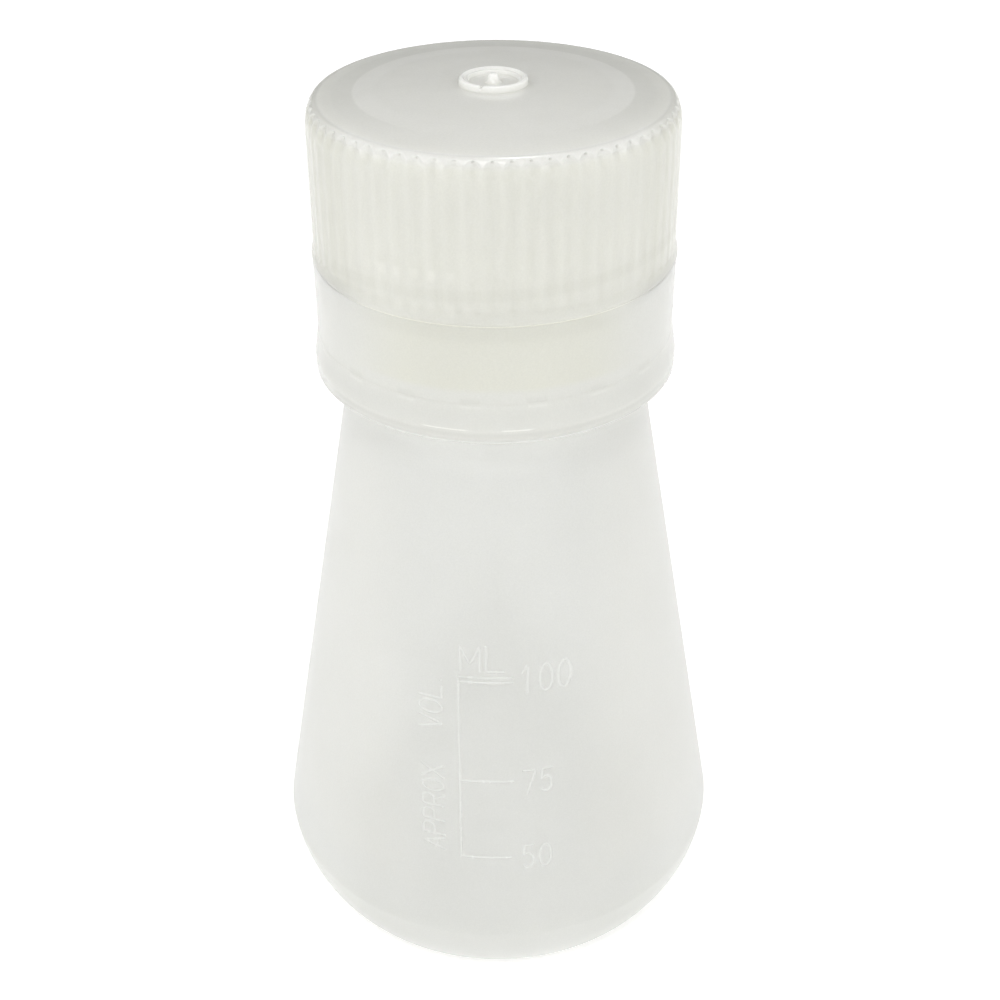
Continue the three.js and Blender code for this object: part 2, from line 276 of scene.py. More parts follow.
def flask_outside():
    """The (r, z) profile from under the base out and up to the top of the thread."""
    base = rounded(
        [
            (0, 2.2), (9.0, 2.2, 6), (15.4, 1.65, 4), (18.6, 0.12, 1.2),
            (19.2, 0.0), (FOOT_R, 0.0),
        ],
        6,
    )
    heel = bezier((FOOT_R, 0), (28.8, 0), (30.1, 10.4), (HEEL_R, HEEL_Z), 26)[1:]
    cone = [(cone_radius(z), z) for z in np.linspace(HEEL_Z + 0.9, CONE_END_Z, 60)]
    # the neck carries two beads
    neck = rounded(
        [
            (cone_radius(CONE_END_Z), CONE_END_Z),
            (CONE_TOP_R + 0.03, 81.3, 3),
            (NECK_R, 83.2, 1.5),
            (NECK_BEAD_R, 84.8, 0.4),
            (NECK_BEAD_R, 85.95, 0.25),
            (NECK_R, 86.0, 0.25),
            (NECK_R, 89.4, 0.3),
            (NECK_BEAD_R, 89.5, 0.25),
            (NECK_BEAD_R, 90.6, 0.3),
            (NECK_R, 92.0, 0.4),
            (NECK_R, 98.9),
        ]
    )
    thread = [(NECK_R, z) for z in np.arange(99.0, LIP_Z - 0.9, THREAD_STEP)]
    return base + heel + cone + neck[1:] + thread


def flask_inside():
    """The profile over the lip, down the bore and wall, and in to the floor's middle."""
    lip = rounded(
        [
            (NECK_R, LIP_Z - 0.85),
            (NECK_R, LIP_Z, 0.55),
            (BORE_R, LIP_Z, 0.6),
            (BORE_R, 86.9, 1.0),
            (CONE_TOP_R - WALL, 83.7, 1.5),
            (CONE_TOP_R - WALL, 80.6, 3),
            (cone_radius(76) - WALL, 76),
        ],
        7,
    )
    wall = [(cone_radius(z) - WALL, z) for z in np.linspace(74, 15, 24)]
    heel = bezier(
        (cone_radius(13.5) - WALL, 13.5), (29.1, 8.8), (27.6, 2.0), (21.0, 1.62), 16
    )
    floor = rounded(
        [(21.0, 1.62), (18.4, 1.75, 1.5), (15.0, 3.2, 4), (9.0, 3.75, 6), (0, 3.8)], 6
    )
    return spaced(lip, 2.5) + wall + heel + floor[1:]


def build_flask():
    profile = flask_outside() + flask_inside()
    clean = [profile[0]]
    for r, z in profile[1:]:
        if math.hypot(r - clean[-1][0], z - clean[-1][1]) > 0.02:
            clean.append((r, z))
    return shell("flask", rings_of(clean, 240, neck_thread))


# ---------------------------------------------------------------- screw cap
def dome(radius):
    return CAP_TOP_Z + DOME * (1 - (radius / CAP_TOP_R) ** 2)


def cap_envelope(z):
    """The radius over the ridges: flared at the foot, drafted, then rounded at the edge."""
    if z <= CAP_EDGE_Z:
        flare = 0.2 * (1 - float(ease(CAP_BOTTOM_Z + 0.35, CAP_BOTTOM_Z + 1.7, z)))
        return RIB_R + RIB_DRAFT * min(1.0, (CAP_EDGE_Z - z) / 12.5) + flare
    t = min(1.0, (z - CAP_EDGE_Z) / (CAP_TOP_Z - CAP_EDGE_Z))
    edge = 1.26  # how far the rounded edge draws in
    return RIB_R - edge + edge * math.sqrt(max(0.0, 1 - t * t))


def fluted(angles, z, radius):
    # across a flute: 0 in its middle, 1 or -1 on the ridges
    u = (((angles - FLUTE_ANGLE) * RIBS / TAU + 0.5) % 1.0) * 2 - 1
    # the flutes fade out just above the bead
    foot = float(ease(CAP_BOTTOM_Z + 0.9, CAP_BOTTOM_Z + 1.5, z))
    down = CAP_TOP_Z - z
    depth = FLUTE_SIDE + (FLUTE_UPPER - FLUTE_SIDE) * (1 - float(ease(0.9, 2.2, down)))
    depth += (FLUTE_DEPTH - FLUTE_UPPER) * (1 - float(ease(0.2, 1.0, down)))
    # sharp ridges near the top, soft ones below
    keen = 1 - float(ease(0.7, 1.3, down))
    across = (1 - u * u) * keen + np.cos(u * math.pi / 2) ** 2 * (1 - keen)
    groove = max(radius, RIB_TOP_R) - foot * depth * across
    # the smaller of groove and envelope, blended where they meet
    blend = 0.03
    h = np.clip(0.5 + 0.5 * (groove - radius) / blend, 0, 1)
    radii = groove * (1 - h) + radius * h - blend * h * (1 - h)
    # a small pocket where each flute runs out under the edge
    pit = np.exp(-((u / 0.13) ** 2) - ((z - CAP_TOP_Z + 0.36) / 0.11) ** 2)
    return radii - 0.16 * pit


def cap_thread(angles, z, radius):
    height = helix_height(angles, z, NECK_THREAD_Z - PITCH / 2, CAP_TURNS)
    return radius - (CAP_BORE_R - CAP_THREAD_R) * height


def cap_side(count):
    """Rings from the lower edge up the fluted side to the rim of the top."""
    bottom = rounded(
        [
            (CAP_BORE_R + 0.5, CAP_BOTTOM_Z, 0.1),
            (CAP_BEAD_R - 0.06, CAP_BOTTOM_Z, 0.05),
            (CAP_BEAD_R, CAP_BOTTOM_Z + 0.08, 0.06),
            (CAP_BEAD_R, CAP_BOTTOM_Z + 0.4, 0.12),
            (cap_envelope(CAP_BOTTOM_Z + 0.75), CAP_BOTTOM_Z + 0.75),
        ],
        6,
    )
    heights = [
        *np.arange(CAP_BOTTOM_Z + 0.83, CAP_BOTTOM_Z + 2.0, 0.08),
        *np.linspace(CAP_BOTTOM_Z + 2.1, CAP_EDGE_Z, 12),
        *np.linspace(CAP_EDGE_Z + 0.15, CAP_TOP_Z - 1.15, 10),
        *np.arange(CAP_TOP_Z - 1.1, CAP_TOP_Z - 0.02, 0.035),
    ]
    rings = rings_of(bottom[1:], count)
    rings += [ring_of(cap_envelope(z), z, count, fluted) for z in heights]
    rings.append(ring_of(CAP_TOP_R, CAP_TOP_Z - 0.003, count))
    return rings


def nick_gate(rings, sill):
    """A nick in the gate's wall, where the runner was broken off."""
    low = sill + 0.1
    for ring in rings:
        radius = float(np.hypot(ring[0, 0], ring[0, 1]))
        if 2.6 < radius < 3.95:
            angles = np.degrees(np.arctan2(ring[:, 1], ring[:, 0]))
            off = np.abs((angles + 112 + 180) % 360 - 180)
            z = ring[:, 2]
            cut = low + (z - low) * (1 - 0.5 * (1 - ease(1.2, 4.0, off)))
            ring[:, 2] = np.where(z > low, cut, z)


def cap_top(count):
    """The top: a shallow dome with the moulding gate in the middle."""
    sill = dome(GATE_R)
    top = [(r, dome(r)) for r in np.linspace(19.0, GATE_R + 0.4, 22)]
    top += rounded(
        [
            (GATE_R + 0.3, dome(GATE_R + 0.3)),
            (GATE_R, sill, 0.12),
            (GATE_R - 0.1, sill + 0.68, 0.12),
            (GATE_R - 0.42, sill + 0.76, 0.12),
            (GATE_R - 0.68, sill + 0.5, 0.1),
            (GATE_R - 0.95, sill + 0.5, 0.1),
            (GATE_R - 1.12, sill + 0.18, 0.1),
            (GATE_R - 1.5, sill + 0.1, 0.3),
            (0.9, sill + 0.08, 0.15),
            (0.6, sill + 0.45, 0.2),
            (0.46, sill + 1.02, 0.16),
            (0, sill + 1.07),
        ],
        6,
    )
    rings = rings_of(spaced(top, 1.2), count)
    nick_gate(rings, sill)
    return rings


def cap_inside(count):
    """Rings from the middle of the underside out and down to the lower edge."""
    under = [(r, 110.9 + DOME * (1 - (r / 18.1) ** 2)) for r in np.linspace(0, 17.8, 14)]
    under += rounded(
        [(17.8, 110.95), (CAP_BORE_R, 110.8, 0.9), (CAP_BORE_R, CAP_BOTTOM_Z + 13.4)], 6
    )[1:]
    rings = rings_of(spaced(under, 2.5), count)
    rings += [
        ring_of(CAP_BORE_R, z, count, cap_thread)
        for z in np.arange(CAP_BOTTOM_Z + 13.2, CAP_BOTTOM_Z + 0.9, -THREAD_STEP)
    ]
    foot = [
        (CAP_BORE_R, CAP_BOTTOM_Z + 0.8),
        (CAP_BORE_R + 0.5, CAP_BOTTOM_Z + 0.12, 0.2),
    ]
    return rings + rings_of(rounded(foot, 3), count)


def build_cap():
    side_count = RIBS * 16
    plain_count = RIBS * 4
    rings = cap_inside(plain_count) + cap_side(side_count) + cap_top(plain_count)
    return shell("cap", rings)


# ---------------------------------------------------------------- neck ring
def lugged(angles, z, radius):
    off = np.abs((((angles - LUG_ANGLE) * LUGS / TAU + 0.5) % 1.0) - 0.5) * 360 / LUGS
    across = 1 - ease(2.6, 3.3, off)
    rising = ease(LUG_BOTTOM_Z - 0.1, LUG_BOTTOM_Z + 0.1, z)
    along = rising * (1 - ease(LUG_TOP_Z - 0.7, LUG_TOP_Z, z))
    return radius - (RING_BORE_R - LUG_R) * across * float(along)


def build_ring():
    count = 360
    top = CAP_BOTTOM_Z - 0.03  # it all but touches the cap
    outer = rounded(
        [
            (RING_BORE_R, RING_BOTTOM_Z + 0.6),
            (RING_BORE_R, RING_BOTTOM_Z - 0.1, 0.12),
            (RING_LIP_R - 0.02, RING_BOTTOM_Z - 0.1, 0.12),
            (RING_LIP_R, RING_CREST_Z, 0.12),
            (RING_R + 0.05, RING_STEP_Z - 0.1, 0.3),
            (RING_R - 0.01, RING_STEP_Z + 0.15, 0.3),
            (RING_R - 0.05, top - 1.0, 1.0),
            (RING_R - 0.01, top, 0.05),
            (RING_BORE_R, top, 0.12),
            (RING_BORE_R, 89.0),
        ],
        6,
    )
    rings = rings_of(spaced(outer, 1.5), count)
    rings += [
        ring_of(RING_BORE_R, z, count, lugged)
        for z in np.arange(88.8, LUG_BOTTOM_Z - 0.4, -0.1)
    ]
    rings += rings_of(spaced([(RING_BORE_R, 85.6), (RING_BORE_R, 82.4)], 1.5), count)
    return shell("neck_sleeve", rings, closed=True)


# ---------------------------------------------------------------- seal disc
def build_seal():
    """A disc with a plug ring standing down from it."""
    profile = rounded(
        [
            (0, SEAL_UNDER_Z),
            (13.3, SEAL_UNDER_Z, 0.5),
            (13.6, SEAL_BOTTOM_Z, 0.3),
            (14.5, SEAL_BOTTOM_Z, 0.4),
            (15.1, SEAL_BOTTOM_Z + 1.2, 0.5),
            (15.1, SEAL_UNDER_Z, 0.15),
            (SEAL_R, SEAL_UNDER_Z, 0.15),
            (SEAL_R, SEAL_TOP_Z, 0.2),
            (0, SEAL_TOP_Z),
        ]
    )
    return shell("seal", rings_of(spaced(profile, 2.0), 200))


# ---------------------------------------------------------------- raised scale
def arc(centre_x, centre_y, radius_x, radius_y, start, end, steps):
    """Points on an ellipse between two angles in degrees."""
    angles = [math.radians(start + (end - start) * i / steps) for i in range(steps + 1)]
    return [
        (centre_x + radius_x * math.cos(a), centre_y + radius_y * math.sin(a))
        for a in angles
    ]


# A single-stroke alphabet: each stroke is a list of points in a box 1 wide and 1 high.
P_STROKE = [(0, 0), (0, 1)] + arc(0.6, 0.74, 0.38, 0.26, 90, -90, 10) + [(0, 0.48)]
GLYPHS = {
    "M": [[(0, 0), (0, 1), (0.5, 0.3), (1, 1), (1, 0)]],
    "L": [[(0, 1), (0, 0), (0.9, 0)]],
    "1": [[(0.12, 0.74), (0.5, 1), (0.5, 0)]],
    "0": [arc(0.5, 0.5, 0.46, 0.5, 90, 450, 26)],
    "7": [[(0.02, 1), (0.98, 1), (0.36, 0)]],
    "5": [
        [(0.92, 1), (0.18, 1), (0.1, 0.55)] + arc(0.48, 0.34, 0.46, 0.34, 128, -140, 18)
    ],
    "A": [[(0, 0), (0.5, 1), (1, 0)], [(0.2, 0.36), (0.8, 0.36)]],
    "P": [P_STROKE],
    "R": [P_STROKE, [(0.5, 0.48), (1, 0)]],
    "O": [arc(0.5, 0.5, 0.5, 0.5, 90, 450, 26)],
    "X": [[(0, 0), (1, 1)], [(0, 1), (1, 0)]],
    "V": [[(0, 1), (0.5, 0), (1, 1)]],
    ".": [[(0.16, 0.03), (0.24, 0.03)]],
}

# The rule and its marks: x and z of both ends, half width, height off the wall; mm
RULE_X = -4.78
BARS = [
    (RULE_X - 0.05, 49.12, 1.72, 49.12, 0.15, 0.13),
    (RULE_X + 0.1, 48.46, 1.72, 48.46, 0.13, 0.08),
    (RULE_X, 34.62, 1.78, 34.62, 0.17, 0.12),
    (RULE_X, 23.35, 1.5, 23.35, 0.16, 0.1),
    (RULE_X, 48.6, RULE_X, 23.35, 0.17, 0.11),
]
# Text, whether it reads upwards, x and z of its start, letter width, gap, letter height,
# stroke half width, stroke height off the wall; mm
TEXTS = [
    ("ML", False, -4.5, 49.95, 2.35, 0.75, 3.35, 0.17, 0.11),
    ("100", False, 2.75, 46.95, 1.65, 0.6, 3.7, 0.17, 0.08),
    ("75", False, 3.05, 32.75, 1.55, 0.55, 3.3, 0.16, 0.075),
    ("50", False, 2.9, 21.6, 1.6, 0.6, 3.4, 0.16, 0.075),
    ("APPROX", True, -6.85, 24.0, 1.6, 0.5, 2.7, 0.15, 0.065),
    ("VOL.", True, -6.85, 41.3, 1.75, 0.45, 2.8, 0.15, 0.065),
]
# Across a stroke: place in half widths, height as a share of the stroke's height.
# None is the buried edge.
SECTION = [
    (-1.25, None), (-1.25, -0.03), (-0.98, 0.05), (-0.8, 0.4), (-0.6, 0.82),
    (-0.35, 1.0), (0.0, 1.03), (0.35, 1.0),
    (0.6, 0.82), (0.8, 0.4), (0.98, 0.05), (1.25, -0.03), (1.25, None),
]
BURIED = -0.4  # mm off the wall


def lettering(text, upwards, x, z, width, gap, height):
    """Strokes of a line of text on the (x, z) plane."""
    strokes = []
    pen = 0.0
    for letter in text:
        for glyph_stroke in GLYPHS[letter]:
            points = [(pen + u * width, v * height) for u, v in glyph_stroke]
            if upwards:
                points = [(-up, along) for along, up in points]
            strokes.append([(x + px, z + pz) for px, pz in points])
        pen += (0.45 * width if letter == "." else width) + gap
    return strokes


def eased_path(points):
    """A stroke evenly spaced with its corners eased, its directions, and if it is a loop."""
    points = np.array(points, float)
    closed = np.hypot(*(points[0] - points[-1])) < 1e-6
    travelled = np.concatenate([[0], np.cumsum(np.hypot(*(np.diff(points, axis=0).T)))])
    count = max(3, int(travelled[-1] / 0.16))
    at = np.linspace(0, travelled[-1], count + 1)
    path = np.stack([np.interp(at, travelled, points[:, axis]) for axis in (0, 1)], 1)
    for _ in range(2):
        if closed:
            core = path[:-1]
            core = 0.25 * np.roll(core, 1, 0) + 0.5 * core + 0.25 * np.roll(core, -1, 0)
            path = np.vstack([core, core[:1]])
        else:
            path[1:-1] = 0.25 * path[:-2] + 0.5 * path[1:-1] + 0.25 * path[2:]
    if closed:
        path = path[:-1]
        along = np.roll(path, -1, 0) - np.roll(path, 1, 0)
    else:
        along = np.gradient(path, axis=0)
    along /= np.maximum(np.hypot(along[:, 0], along[:, 1])[:, None], 1e-9)
    return path, along, closed


def on_cone(x, z, height):
    """The point that stands height off the front of the cone at (x, z)."""
    radius = cone_radius(z)
    y = -math.sqrt(radius * radius - x * x)
    normal = np.array([x / radius, y / radius, CONE_SLOPE])
    normal /= np.linalg.norm(normal)
    return tuple(np.array([x, y, z]) + normal * height)


def stroke_mesh(points, half, high, base):
    """Vertices and faces of one raised stroke. base is its first vertex's index."""
    path, along, closed = eased_path(points)
    sideways = np.stack([-along[:, 1], along[:, 0]], 1)
    widths = np.ones(len(path))
    if not closed:  # round ends
        steps = 4
        turn = np.linspace(0, math.pi / 2, steps + 1)[1:]
        head = [path[0] - along[0] * half * math.sin(t) for t in turn][::-1]
        tail = [path[-1] + along[-1] * half * math.sin(t) for t in turn]
        widths = np.concatenate([np.cos(turn)[::-1], widths, np.cos(turn)])
        widths = np.maximum(widths, 0.06)
        path = np.vstack([head, path, tail])
        sideways = np.vstack([[sideways[0]] * steps, sideways, [sideways[-1]] * steps])
    verts = []
    for (x, z), (side_x, side_z), width in zip(path, sideways, widths):
        for across, share in SECTION:
            if share is None:
                height = BURIED
            else:
                height = share * high * (math.sqrt(width) if share > 0 else 1.0)
            reach = across * half * width
            verts.append(on_cone(x + side_x * reach, z + side_z * reach, height))
    rows, m = len(path), len(SECTION)
    faces = []
    for i in range(rows if closed else rows - 1):
        this, after = base + i * m, base + (i + 1) % rows * m
        for c in range(m):
            e = (c + 1) % m
            faces.append((this + c, this + e, after + e, after + c))
    if not closed:
        faces.append(tuple(base + c for c in range(m))[::-1])
        faces.append(tuple(base + (rows - 1) * m + c for c in range(m)))
    return verts, faces


def build_scale():
    strokes = [([(x0, z0), (x1, z1)], half, high) for x0, z0, x1, z1, half, high in BARS]
    for *line, half, high in TEXTS:
        strokes += [(points, half, high) for points in lettering(*line)]
    verts, faces = [], []
    for points, half, high in strokes:
        new_verts, new_faces = stroke_mesh(points, half, high, len(verts))
        verts += new_verts
        faces += new_faces
    return mesh_object("volume_scale", verts, faces)


# ---------------------------------------------------------------- shader building
def add_node(tree, kind, inputs=(), **settings):
    """A node with its settings. Each input takes a plain value, a socket or a Field."""
    new = tree.nodes.new(kind)
    for name, value in settings.items():
        setattr(new, name, value)
    for key, value in dict(inputs).items():
        value = getattr(value, "socket", value)
        if isinstance(value, bpy.types.NodeSocket):
            tree.links.new(value, new.inputs[key])
        else:
            new.inputs[key].default_value = value
    return new


def field(tree, kind, inputs=(), output=0, **settings):
    """One output of a new node."""
    return Field(tree, add_node(tree, kind, inputs, **settings).outputs[output])


class Field:
    """A shader output. Arithmetic on it adds the math nodes that work it out."""

    def __init__(self, tree, socket):
        self.tree = tree
        self.socket = socket

    def math(self, operation, *others, clamp=False):
        inputs = dict(enumerate((self, *others)))
        return field(
            self.tree, "ShaderNodeMath", inputs, operation=operation, use_clamp=clamp
        )

    def __add__(self, other):
        return self.math("ADD", other)

    def __sub__(self, other):
        return self.math("SUBTRACT", other)

    def __rsub__(self, number):
        return field(
            self.tree, "ShaderNodeMath", {0: number, 1: self}, operation="SUBTRACT"
        )

    def __mul__(self, other):
        return self.math("MULTIPLY", other)

    def __truediv__(self, other):
        return self.math("DIVIDE", other)

    def __pow__(self, other):
        return self.math("POWER", other)

    def __abs__(self):
        return self.math("ABSOLUTE")

    def times_add(self, factor, term, clamp=False):
        return self.math("MULTIPLY_ADD", factor, term, clamp=clamp)

    def step(self, start, end):
        inputs = {"Value": self, "From Min": start, "From Max": end}
        return field(
            self.tree, "ShaderNodeMapRange", inputs, interpolation_type="SMOOTHSTEP"
        )

    def band(self, start, full, fading, gone):
        """1 between full and fading, easing to 0 at start and gone."""
        return self.step(start, full) * (1.0 - self.step(fading, gone))

    def rise(self, start, full, far=90):
        """0 up to start, 1 from full on. far lies beyond the piece."""
        return self.band(start, full, far, far + 1)

    def fall(self, fading, gone, near=50):
        """1 up to fading, 0 from gone on. near lies before the piece."""
        return self.band(near, near + 1, fading, gone)

    def mixed(self, mask, colour, strength=None, blend="MIX"):
        """This colour with another laid over it where mask is 1."""
        amount = mask if strength is None else mask * strength
        return mix(amount, self, colour, blend)

    def multiplied(self, mask, colour, strength=None):
        return self.mixed(mask, colour, strength, blend="MULTIPLY")


def mix(amount, first, second, blend="MIX"):
    """Two colours, each a Field or an RGB tuple, mixed by a Field."""
    first, second = (
        (*colour, 1.0) if isinstance(colour, tuple) else colour
        for colour in (first, second)
    )
    return field(
        amount.tree,
        "ShaderNodeMix",
        {"Factor": amount, 6: first, 7: second},
        output=2,
        data_type="RGBA",
        blend_type=blend,
        clamp_factor=True,
    )


def noise(coord, scale, detail, roughness, stretch=None):
    if stretch is not None:
        inputs = {"Vector": coord, "Scale": stretch}
        coord = field(coord.tree, "ShaderNodeMapping", inputs)
    inputs = {"Vector": coord, "Scale": scale, "Detail": detail, "Roughness": roughness}
    return field(coord.tree, "ShaderNodeTexNoise", inputs)


def millimetres(place, axes="XYZ"):
    """The coordinates from a Separate XYZ node, in mm."""
    return [Field(place.id_data, place.outputs[axis]) * 1000.0 for axis in axes]


def turns_about_z(x, y):
    """The angle about Z in turns: -0.25 faces the front, -0.5 the left, 0 the right."""
    return y.math("ARCTAN2", x) / TAU


def repeats(turns, count, angle):
    """Counts evenly spaced features, halfway between whole numbers in their middles."""
    return turns.times_add(float(count), 0.5 - math.degrees(angle) / 360 * count)


def off_middle(count):
    """Distance from a feature's middle, as a share of the spacing."""
    return abs(count.math("FRACT") - 0.5)


def empty_tree(owner):
    owner.use_nodes = True
    owner.node_tree.nodes.clear()
    return owner.node_tree


# ---------------------------------------------------------------- tones
# Each tone paints light and shade into a colour by place. Distances are in mm, angles in
# turns.
SHADOW = (0.2, 0.2, 0.17)
BODY_SHADOW = (0.2, 0.2, 0.18)
TOP_SHADOW = (0.3, 0.31, 0.28)


def cap_top_tone(x, y, z, radius, coord, colour):
    """Painted light and shade seen through the top: lighter over the seal's plug ring, darker
    over its edge and the rim, a lighter lid and painted light on the gate.
    """
    wobbly = radius + noise(coord, 120, 2, 0.5).times_add(0.3, -0.15)
    on_top = z.rise(CAP_TOP_Z - 0.7, CAP_TOP_Z - 0.25, far=CAP_TOP_Z + 4)
    # the rings fade towards the front, where the top mirrors more light
    on_top = on_top * y.rise(-16.0, -4.0, far=30)
    # painted see-through light and shade: lighter over the seal's plug ring, darker over its
    # edge and over the rim
    plug_ring_light = wobbly.band(12.5, 13.5, 15.1, 15.35) * on_top
    seal_edge_shade = wobbly.band(15.15, 15.5, 17.4, 17.9) * on_top
    rim = wobbly.rise(17.4, 17.9, far=40) * on_top
    # painted light: the top face is made lighter than the side
    lid = 1.0 - radius.rise(19.0, CAP_TOP_R)
    lid = lid * z.rise(CAP_TOP_Z - 0.2, CAP_TOP_Z - 0.05, far=200)
    colour = colour.multiplied(lid, (1.13, 1.13, 1.16))
    colour = colour.mixed(seal_edge_shade, TOP_SHADOW, strength=0.12)
    colour = colour.mixed(rim, TOP_SHADOW, strength=0.08)
    colour = colour.mixed(plug_ring_light, (1.0, 1.0, 0.98), strength=0.05)
    # painted light on the gate, which is thick and catches the light
    gate = radius.fall(GATE_R - 0.1, GATE_R + 0.1, near=-2) * z.rise(112.9, 113.1, far=130)
    return colour.mixed(gate, (0.97, 0.97, 0.9), strength=0.12)


def cap_tone(place, coord, colour):
    """The top, and on the side painted shade in the pockets, along the thread behind the wall
    and on the flanks, and painted light in the flutes and streaks.
    """
    x, y, z = millimetres(place)
    radius = (x * x + y * y).math("SQRT")
    colour = cap_top_tone(x, y, z, radius, coord, colour)
    side = radius.rise(18.9, 19.3, far=40)
    turns = turns_about_z(x, y)
    flute = repeats(turns, RIBS, FLUTE_ANGLE)

    # painted shade: a dark spot in the pocket at the top of each flute, strongest at the front
    pocket_shade_z = [CAP_TOP_Z - down for down in (0.52, 0.42, 0.3, 0.2)]
    pocket_shade = z.band(*pocket_shade_z) * side
    pocket_shade = pocket_shade * (1.0 - off_middle(flute).rise(0.05, 0.11, far=2))
    pocket_shade = pocket_shade * turns.band(-0.285, -0.262, -0.165, -0.13).times_add(0.75, 0.25)
    colour = colour.mixed(pocket_shade, SHADOW, strength=0.22)

    # the thread behind the wall: a painted darker band of shade that climbs one pitch a turn
    thread_z = z + turns.times_add(-PITCH, 0.0)
    above_foot = z.rise(CAP_BOTTOM_Z + 0.9, CAP_BOTTOM_Z + 1.6, far=40 + CAP_TOP_Z)
    thread_shade = thread_z.band(98.3, 98.9, 99.5, 100.2) * side
    colour = colour.mixed(thread_shade * above_foot, (0.4, 0.4, 0.34), strength=0.1)

    # painted light: where the thread backs a flute, the flute lights up, more at the front
    # left
    lit = thread_z.band(96.6, 97.3, 97.8, 98.6) + thread_z.band(100.3, 101.0, 101.5, 102.1)
    lit = lit * (1.0 - off_middle(flute + 0.22).rise(0.08, 0.4, far=2))
    front_left = turns.band(-0.375, -0.345, -0.285, -0.25)
    front_right = turns.band(-0.255, -0.24, -0.18, -0.15)
    lit = lit * (front_left + front_right * 0.35) * side

    # painted light: faint upright light streaks on the front left
    light_streak = noise(coord, 420, 1, 0.5, stretch=(1.0, 1.0, 0.06)).times_add(1.0, -0.5)
    light_streak = light_streak * z.band(95.5, 98.0, 107.0, 110.5)
    light_streak = light_streak * side * turns.band(-0.42, -0.36, -0.3, -0.24)
    colour = colour.mixed(light_streak.math("MULTIPLY", 0.16, clamp=True), (1.0, 0.97, 0.92))

    # painted shade: the left and right sides are a touch darker
    left = x.fall(-17.5, -14.0, near=-40) * side
    colour = colour.multiplied(left, (0.93, 0.93, 0.915))
    right = x.rise(14.5, 17.5, far=39) * side
    colour = colour.multiplied(right, (0.955, 0.955, 0.94))
    uneven = noise(coord, 260, 1, 0.5).times_add(1.6, -0.3)
    colour = colour.mixed(lit * uneven, (1.0, 0.99, 0.93), strength=0.12)
    edge = side * z.rise(CAP_TOP_Z - 1.3, CAP_TOP_Z - 0.6, far=200)
    return colour.multiplied(edge, (1.0, 1.0, 1.04))


def ring_tone(place, _coord, colour):
    """Warmer in the middle, where the neck stands behind, with painted shade under the cap,
    the lugs' painted shadows and gleams, and painted shade towards the bottom.
    """
    x, y, z = millimetres(place)
    neck = (1.0 - abs(x).rise(9.0, 17.0)) * z.rise(86.6, 87.6, far=200)
    colour = colour.multiplied(neck, (1.0, 0.995, 0.9), strength=0.5)
    # painted shade just under the cap, in the middle
    under_cap_shade = z.rise(92.3, 93.6, far=200) * neck
    colour = colour.mixed(under_cap_shade, SHADOW, strength=0.05)
    lug_count = repeats(turns_about_z(x, y), LUGS, LUG_ANGLE)
    lug = 1.0 - off_middle(lug_count).rise(0.12, 0.18, far=2)
    shade = lug * z.band(85.3, 85.7, 85.9, 86.5)
    colour = colour.mixed(shade, SHADOW, strength=0.055)
    # painted highlight: a gleam just below each lug's shadow
    gleam = lug * z.band(84.9, 85.1, 85.2, 85.4)
    colour = colour.mixed(gleam, (1.0, 1.0, 0.97), strength=0.06)
    # painted shade, darker in stages towards the bottom: fading from, gone at, tint
    for fading, gone, tint in (
        (83.5, 86.5, (0.93, 0.93, 0.945)),
        (81.9, 82.4, (0.9, 0.9, 0.9)),
        (81.0, 81.6, (0.74, 0.74, 0.74)),
        (RING_BOTTOM_Z - 0.04, RING_BOTTOM_Z + 0.05, (0.88, 0.88, 0.88)),
    ):
        colour = colour.multiplied(z.fall(fading, gone), tint)
    return colour


def body_tone(place, _coord, colour):
    """Painted shade where the far wall and base show through the middle and low on the heel,
    and painted light up the sides.
    """
    x, z = millimetres(place, "XZ")
    across = abs(x)
    # painted shade: the dark patch widens downwards from a blurred point
    patch = 1.0 - z.times_add(0.6, across).rise(31.0, 43.0, far=200)
    patch = patch * (1.0 - across.rise(15.0, 25.0))
    colour = colour.mixed(patch, BODY_SHADOW, strength=0.09)
    # painted shade low on the heel, more at its sides
    heel = 1.0 - z.rise(7.0, 15.0, far=200)
    colour = colour.mixed(heel, BODY_SHADOW, strength=0.03)
    heel_sides = across.rise(8.0, 16.0) * heel
    colour = colour.multiplied(heel_sides, (0.95, 0.95, 0.945))
    # painted light up the sides
    flanks = across.rise(8.0, 17.0) * z.rise(14.0, 22.0, far=200)
    return colour.multiplied(flanks, (1.03, 1.025, 1.015))


# ---------------------------------------------------------------- lifts
# Each lift is painted light: extra glow by place, standing in for light a neighbouring wall
# passes on.
def joint_lift(place):
    """Painted light: at the front a glow along the hairline gap between cap and ring, where
    the two walls would light it up.
    """
    x, y, z = millimetres(place)
    gap = z.band(*(CAP_BOTTOM_Z + off for off in (-0.09, -0.05, 0.05, 0.09)))
    middle = 1.0 - abs(x).rise(13.0, 18.0)
    front = 1.0 - y.rise(-12.0, -6.0)
    return gap * middle * front * 0.27


def ring_lift(place):
    """Painted light: the glowing gap, and a painted broken glint along the crest of the bead.
    """
    x, y, z = millimetres(place)
    parts = x.band(-8.4, -7.4, -3.6, -2.8) + x.band(0.4, 1.2, 3.4, 4.4)
    crest = z.band(*(RING_CREST_Z + off for off in (-0.1, -0.05, 0.04, 0.1)))
    front = 1.0 - y.rise(-12.0, -6.0)
    return parts * crest * front * 0.22 + joint_lift(place)


def tuck_lift(place):
    """Painted light under the ring on the shoulder, lifting its shade where the ring passes
    its light on.
    """
    x, y, z = millimetres(place)
    middle = 1.0 - abs(x).rise(4.0, 17.5)
    front = 1.0 - y.rise(-10.0, 4.0)
    strength = middle.times_add(0.28, 0.1) * front
    return z.band(74.0, 80.0, 82.0, 83.0) * strength


